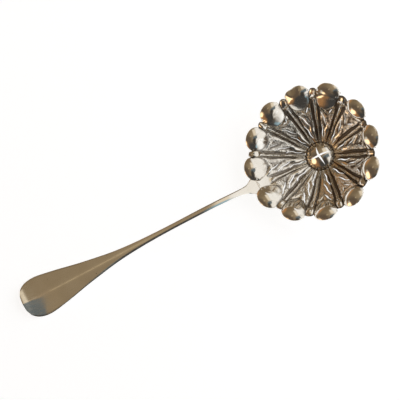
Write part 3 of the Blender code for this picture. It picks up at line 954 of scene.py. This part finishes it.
def add_node(tree, kind, inputs=None, **settings):
    """A node with its settings and inputs. A node among the inputs gives its first output."""
    node = tree.nodes.new("ShaderNode" + kind)
    for key, value in settings.items():
        setattr(node, key, value)
    for key, value in (inputs or {}).items():
        if isinstance(value, bpy.types.Node):
            value = next(output for output in value.outputs if output.enabled)
        if isinstance(value, bpy.types.NodeSocket):
            tree.links.new(value, node.inputs[key])
        else:
            node.inputs[key].default_value = value
    return node


def new_shading(name, owners=bpy.data.materials):
    """A new material or world, and the function that adds nodes to it."""
    made = owners.new(name)
    made.use_nodes = True
    made.node_tree.nodes.clear()
    return made, partial(add_node, made.node_tree)


def per_mm(size):
    """Noise scale whose features are about this many millimetres wide."""
    return 1.0 / (size * MM)


def new_silver(name, cloud_size, detail, light, dark):
    """Silver clouded from light to dark, to be worked on: material, add, places, cloud and colour."""
    material, add = new_shading(name)
    place = add("TexCoord").outputs["Object"]
    cloud = add("TexNoise", {"Vector": place, "Scale": per_mm(cloud_size), "Detail": detail})
    colour = add("Mix", {"Factor": cloud, "A": linear(light), "B": linear(dark)}, data_type="RGBA")
    return material, add, place, cloud, colour


def end_silver(add, colour, rough, **relief):
    shader = add("BsdfPrincipled", {"Base Color": colour, "Metallic": 1.0, "Roughness": rough, **relief})
    add("OutputMaterial", {"Surface": shader})


def chased_silver():
    """Old sterling sheet: brown tarnish where a cloth doesn't reach, less of it towards the handle's side,
    partly from wear and partly as painted light, and a dull, pricked ground between the leaves."""
    material, add, place, _, aged = new_silver("chased_sterling_silver", 5.0, 4.0, "#f2ede4", "#e0d8ca")
    recess = add("Attribute", attribute_name="recess").outputs["Fac"]
    matted = add("Attribute", attribute_name="matted").outputs["Fac"]
    deep = add("MapRange", {
        "Value": recess, "From Min": -0.06, "From Max": 0.22}, interpolation_type="SMOOTHSTEP")
    along = add("SeparateXYZ", {"Vector": place})
    # Less tarnish towards the handle's side: partly wear, partly painted light that makes that side brighter.
    wear_and_painted_light = add("MapRange", {"Value": along, "From Min": 42.0 * MM, "From Max": 84.0 * MM, "To Min": 0.72})
    deep = add("Math", {0: deep, 1: wear_and_painted_light}, operation="MULTIPLY")
    speck = add("TexNoise", {"Vector": place, "Scale": per_mm(0.8), "Detail": 3.0})
    broken = add("Math", {0: speck, 1: deep, 2: deep}, operation="MULTIPLY_ADD")
    film = add("MapRange", {"Value": broken, "From Min": 0.25, "From Max": 1.35, "To Max": 0.92})
    colour = add("Mix", {"Factor": film, "A": aged, "B": linear(TARNISH)}, data_type="RGBA")
    dull = add("MapRange", {"Value": matted, "To Min": 0.12, "To Max": 0.22})
    rough = add("Math", {0: film, 1: 0.22, 2: dull}, operation="MULTIPLY_ADD")
    prick = add("TexVoronoi", {"Vector": place, "Scale": per_mm(0.7)})
    pricked = add("Math", {0: prick, 1: matted}, operation="MULTIPLY")
    grain = add("Bump", {"Height": pricked, "Strength": 0.5, "Distance": 0.25 * MM})
    end_silver(add, colour, rough, Normal=grain)
    return material


def forged_silver():
    """Burnished sterling with fine wear scratches along its length and a few dark pits."""
    material, add, place, _, aged = new_silver("forged_sterling_silver", 9.0, 3.0, "#f0eae0", "#dfd6c6")
    pit = add("TexVoronoi", {"Vector": place, "Scale": per_mm(4.5)})
    pitted = add("MapRange", {"Value": pit, "From Min": 0.03, "From Max": 0.08, "To Min": 0.7, "To Max": 0.0})
    colour = add("Mix", {"Factor": pitted, "A": aged, "B": linear(TARNISH)}, data_type="RGBA")
    stretched = add("Mapping", {"Vector": place, "Scale": (0.08, 1.0, 1.0)})
    scratch = add("TexNoise", {"Vector": stretched, "Scale": per_mm(0.5), "Detail": 5.0})
    rough = add("MapRange", {
        "Value": scratch, "From Min": 0.3, "From Max": 0.7, "To Min": 0.1, "To Max": 0.2})
    wear = add("Bump", {"Height": scratch, "Strength": 0.06, "Distance": 0.05 * MM})
    end_silver(add, colour, rough, Normal=wear)
    return material


def hard_solder():
    """Hard silver solder, filed and smoothed down: greyer and softer in its shine than the sheet."""
    material, add, _, cloud, colour = new_silver("filed_silver_solder", 1.2, 4.0, "#e9e2d4", "#d6ccb8")
    rough = add("MapRange", {"Value": cloud, "To Min": 0.18, "To Max": 0.32})
    end_silver(add, colour, rough)
    return material


# Stage: the sweep's glow, and its half size and depth in millimetres
SWEEP_GLOW = 0.8
SWEEP_HALF = 4000.0
SWEEP_DEPTH = 0.05


def lay_sheet(name, half, place, material):
    """A flat sheet with its half sizes and place in millimetres."""
    x, y = half
    sheet = add_object(name, [(-x, -y, 0.0), (x, -y, 0.0), (x, y, 0.0), (-x, y, 0.0)], [(0, 1, 2, 3)])
    sheet.data.materials.append(material)
    sheet.location = Vector(place) * MM
    return sheet


def pale_floor():
    """Matt white sweep, bright to the eye and in the silver."""
    material, add = new_shading("white_sweep")
    light = add("LightPath").outputs
    seen = light["Is Camera Ray"]
    for ray in ("Is Glossy Ray", "Is Transmission Ray"):
        seen = add("Math", {0: seen, 1: light[ray]}, operation="MAXIMUM")
    level = add("Math", {0: seen, 1: SWEEP_GLOW}, operation="MULTIPLY")
    glow = add("Emission", {"Color": linear("#ffffff"), "Strength": level})
    paper = add("BsdfDiffuse", {"Color": linear("#b0b4ba")})
    both = add("AddShader", {0: glow, 1: paper})
    add("OutputMaterial", {"Surface": both})
    lay_sheet("sweep", (SWEEP_HALF, SWEEP_HALF), (0.0, 0.0, -SWEEP_DEPTH), material)


# Studio patches, laid one over the other: degrees round from +X, degrees down from overhead, inner and outer
# radius in degrees, colour and strength
STUDIO = [
    ("ceiling_glow", 70.0, 13.0, 0.0, 15.0, "#a08e75", 1.0),
    ("north_wall", 100.0, 80.0, 20.0, 60.0, "#7d6c55", 1.0),
    ("west_dark", 178.0, 50.0, 17.0, 42.0, "#64574a", 1.0),
    ("window", -8.0, 88.0, 44.0, 54.0, "#fffdf8", 1.0),
    ("window_bright", -35.0, 84.0, 28.0, 52.0, "#f6faff", 1.3),
    ("dark_side", -120.0, 66.0, 22.0, 46.0, "#444342", 1.0),
    ("blue_edge", -80.0, 71.5, 4.0, 8.5, "#9fc4d8", 1.0),
    ("warm_wall", 190.0, 90.0, 20.0, 45.0, "#a87c52", 1.0),
    ("warm_lamp", 179.0, 69.0, 8.0, 17.0, "#ffdcb0", 2.3),
    ("warm_corner", 114.0, 84.0, 8.0, 26.0, "#b88a5c", 1.0),
    ("small_window", 163.0, 66.0, 3.0, 7.0, "#d5d5cc", 1.0),
]
# Ground tones: the wall, which turns into the ceiling, and the sweep below the horizon in degrees
WALL, CEILING, HORIZON = "#6a5c4b", "#98886f", "#f6f6f4"
WALL_TO_CEILING = (0.2, 0.95)
HORIZON_BAND = (6.0, 4.0)

# Cards over the table, in millimetres: middle, half sizes, turn in degrees, soft edge, height and colour
CARDS = [
    ("softbox_north", (985.0, 247.0), (800.0, 800.0), -22.6, 250.0, 620.0, "#ffffff"),
    ("softbox_south", (860.0, -400.0), (800.0, 420.0), 0.0, 160.0, 620.0, "#ffffff"),
    ("reflector", (195.0, 250.0), (135.0, 230.0), -8.0, 60.0, 612.0, "#eee3d0"),
    ("flag_near", (130.0, -123.0), (200.0, 112.0), 0.0, 16.0, 610.0, "#65727a"),
    ("ridge_strip", (-165.0, 137.0), (75.0, 55.0), 0.0, 48.0, 616.0, "#c6b494"),
    ("flag_far", (-20.0, -420.0), (170.0, 380.0), 0.0, 130.0, 605.0, "#3c3a38"),
]


def hang_card(name, middle, half, turn, soft, height, shade):
    """A flat card with soft edges that only the silver sees."""
    material, add = new_shading(name)
    place = add("TexCoord").outputs["Object"]
    sides = add("SeparateXYZ", {"Vector": place}).outputs
    shares = []
    for side, size in zip((sides["X"], sides["Y"]), half):
        away = add("Math", {0: side}, operation="ABSOLUTE")
        shares.append(add("MapRange", {
            "Value": away, "From Min": size * MM, "From Max": (size - soft) * MM},
            interpolation_type="SMOOTHSTEP"))
    share = add("Math", {0: shares[0], 1: shares[1]}, operation="MULTIPLY")
    glow = add("Emission", {"Color": linear(shade)})
    clear = add("BsdfTransparent")
    mixed = add("MixShader", {0: share, 1: clear, 2: glow})
    add("OutputMaterial", {"Surface": mixed})
    card = lay_sheet(name, half, (*middle, height), material)
    card.rotation_euler.z = math.radians(turn)
    card.visible_camera = False
    card.visible_shadow = False


def studio_light():
    bpy.context.scene.world, add = new_shading("studio", bpy.data.worlds)
    way = add("TexCoord").outputs["Generated"]
    up = add("SeparateXYZ", {"Vector": way}).outputs["Z"]
    low, high = WALL_TO_CEILING
    ceiling = add("MapRange", {"Value": up, "From Min": low, "From Max": high})
    colour = add("Mix", {"Factor": ceiling, "A": linear(WALL), "B": linear(CEILING)}, data_type="RGBA")
    for name, turn, down, inner, outer, shade, strength in STUDIO:
        turn, down, inner, outer = np.radians([turn, down, inner, outer]).tolist()
        middle = (math.cos(turn) * math.sin(down), math.sin(turn) * math.sin(down), math.cos(down))
        near = add("VectorMath", {0: way, 1: middle}, operation="DOT_PRODUCT")
        share = add("MapRange", {
            "Value": near, "From Min": math.cos(outer), "From Max": math.cos(inner)},
            interpolation_type="SMOOTHSTEP")
        colour = add("Mix", {
            "Factor": share, "A": colour, "B": linear(shade, strength)}, data_type="RGBA", label=name)
    high, low = (math.sin(math.radians(degrees)) for degrees in HORIZON_BAND)
    horizon = add("MapRange", {"Value": up, "From Min": high, "From Max": low})
    colour = add("Mix", {"Factor": horizon, "A": colour, "B": linear(HORIZON)}, data_type="RGBA")
    sky = add("Background", {"Color": colour})
    add("OutputWorld", {"Surface": sky})


# Camera: place, focal length and sensor in millimetres, turns about X, Y and Z in degrees
CAMERA_PLACE = (-74.2323, -148.4779, 680.0323)
CAMERA_TURNS = (14.551621, -0.05326, -27.157589)
FOCAL_LENGTH = 120.393
SENSOR = 36.0


def place_camera():
    data = bpy.data.cameras.new("camera")
    data.sensor_width = SENSOR
    data.lens = FOCAL_LENGTH
    camera = bpy.data.objects.new("camera", data)
    camera.location = Vector(CAMERA_PLACE) * MM
    camera.rotation_euler = np.radians(CAMERA_TURNS)
    bpy.context.scene.collection.objects.link(camera)
    bpy.context.scene.camera = camera


def main():
    solder = hard_solder()
    pieces = [
        (make_bowl(), chased_silver()), (make_handle(), forged_silver()),
        (make_front_seam(), solder), (make_back_fillet(), solder),
    ]
    for piece, material in pieces:
        piece.data.materials.append(material)
    pale_floor()
    studio_light()
    for card in CARDS:
        hang_card(*card)
    place_camera()
    bpy.context.scene.view_settings.view_transform = "Standard"


main()
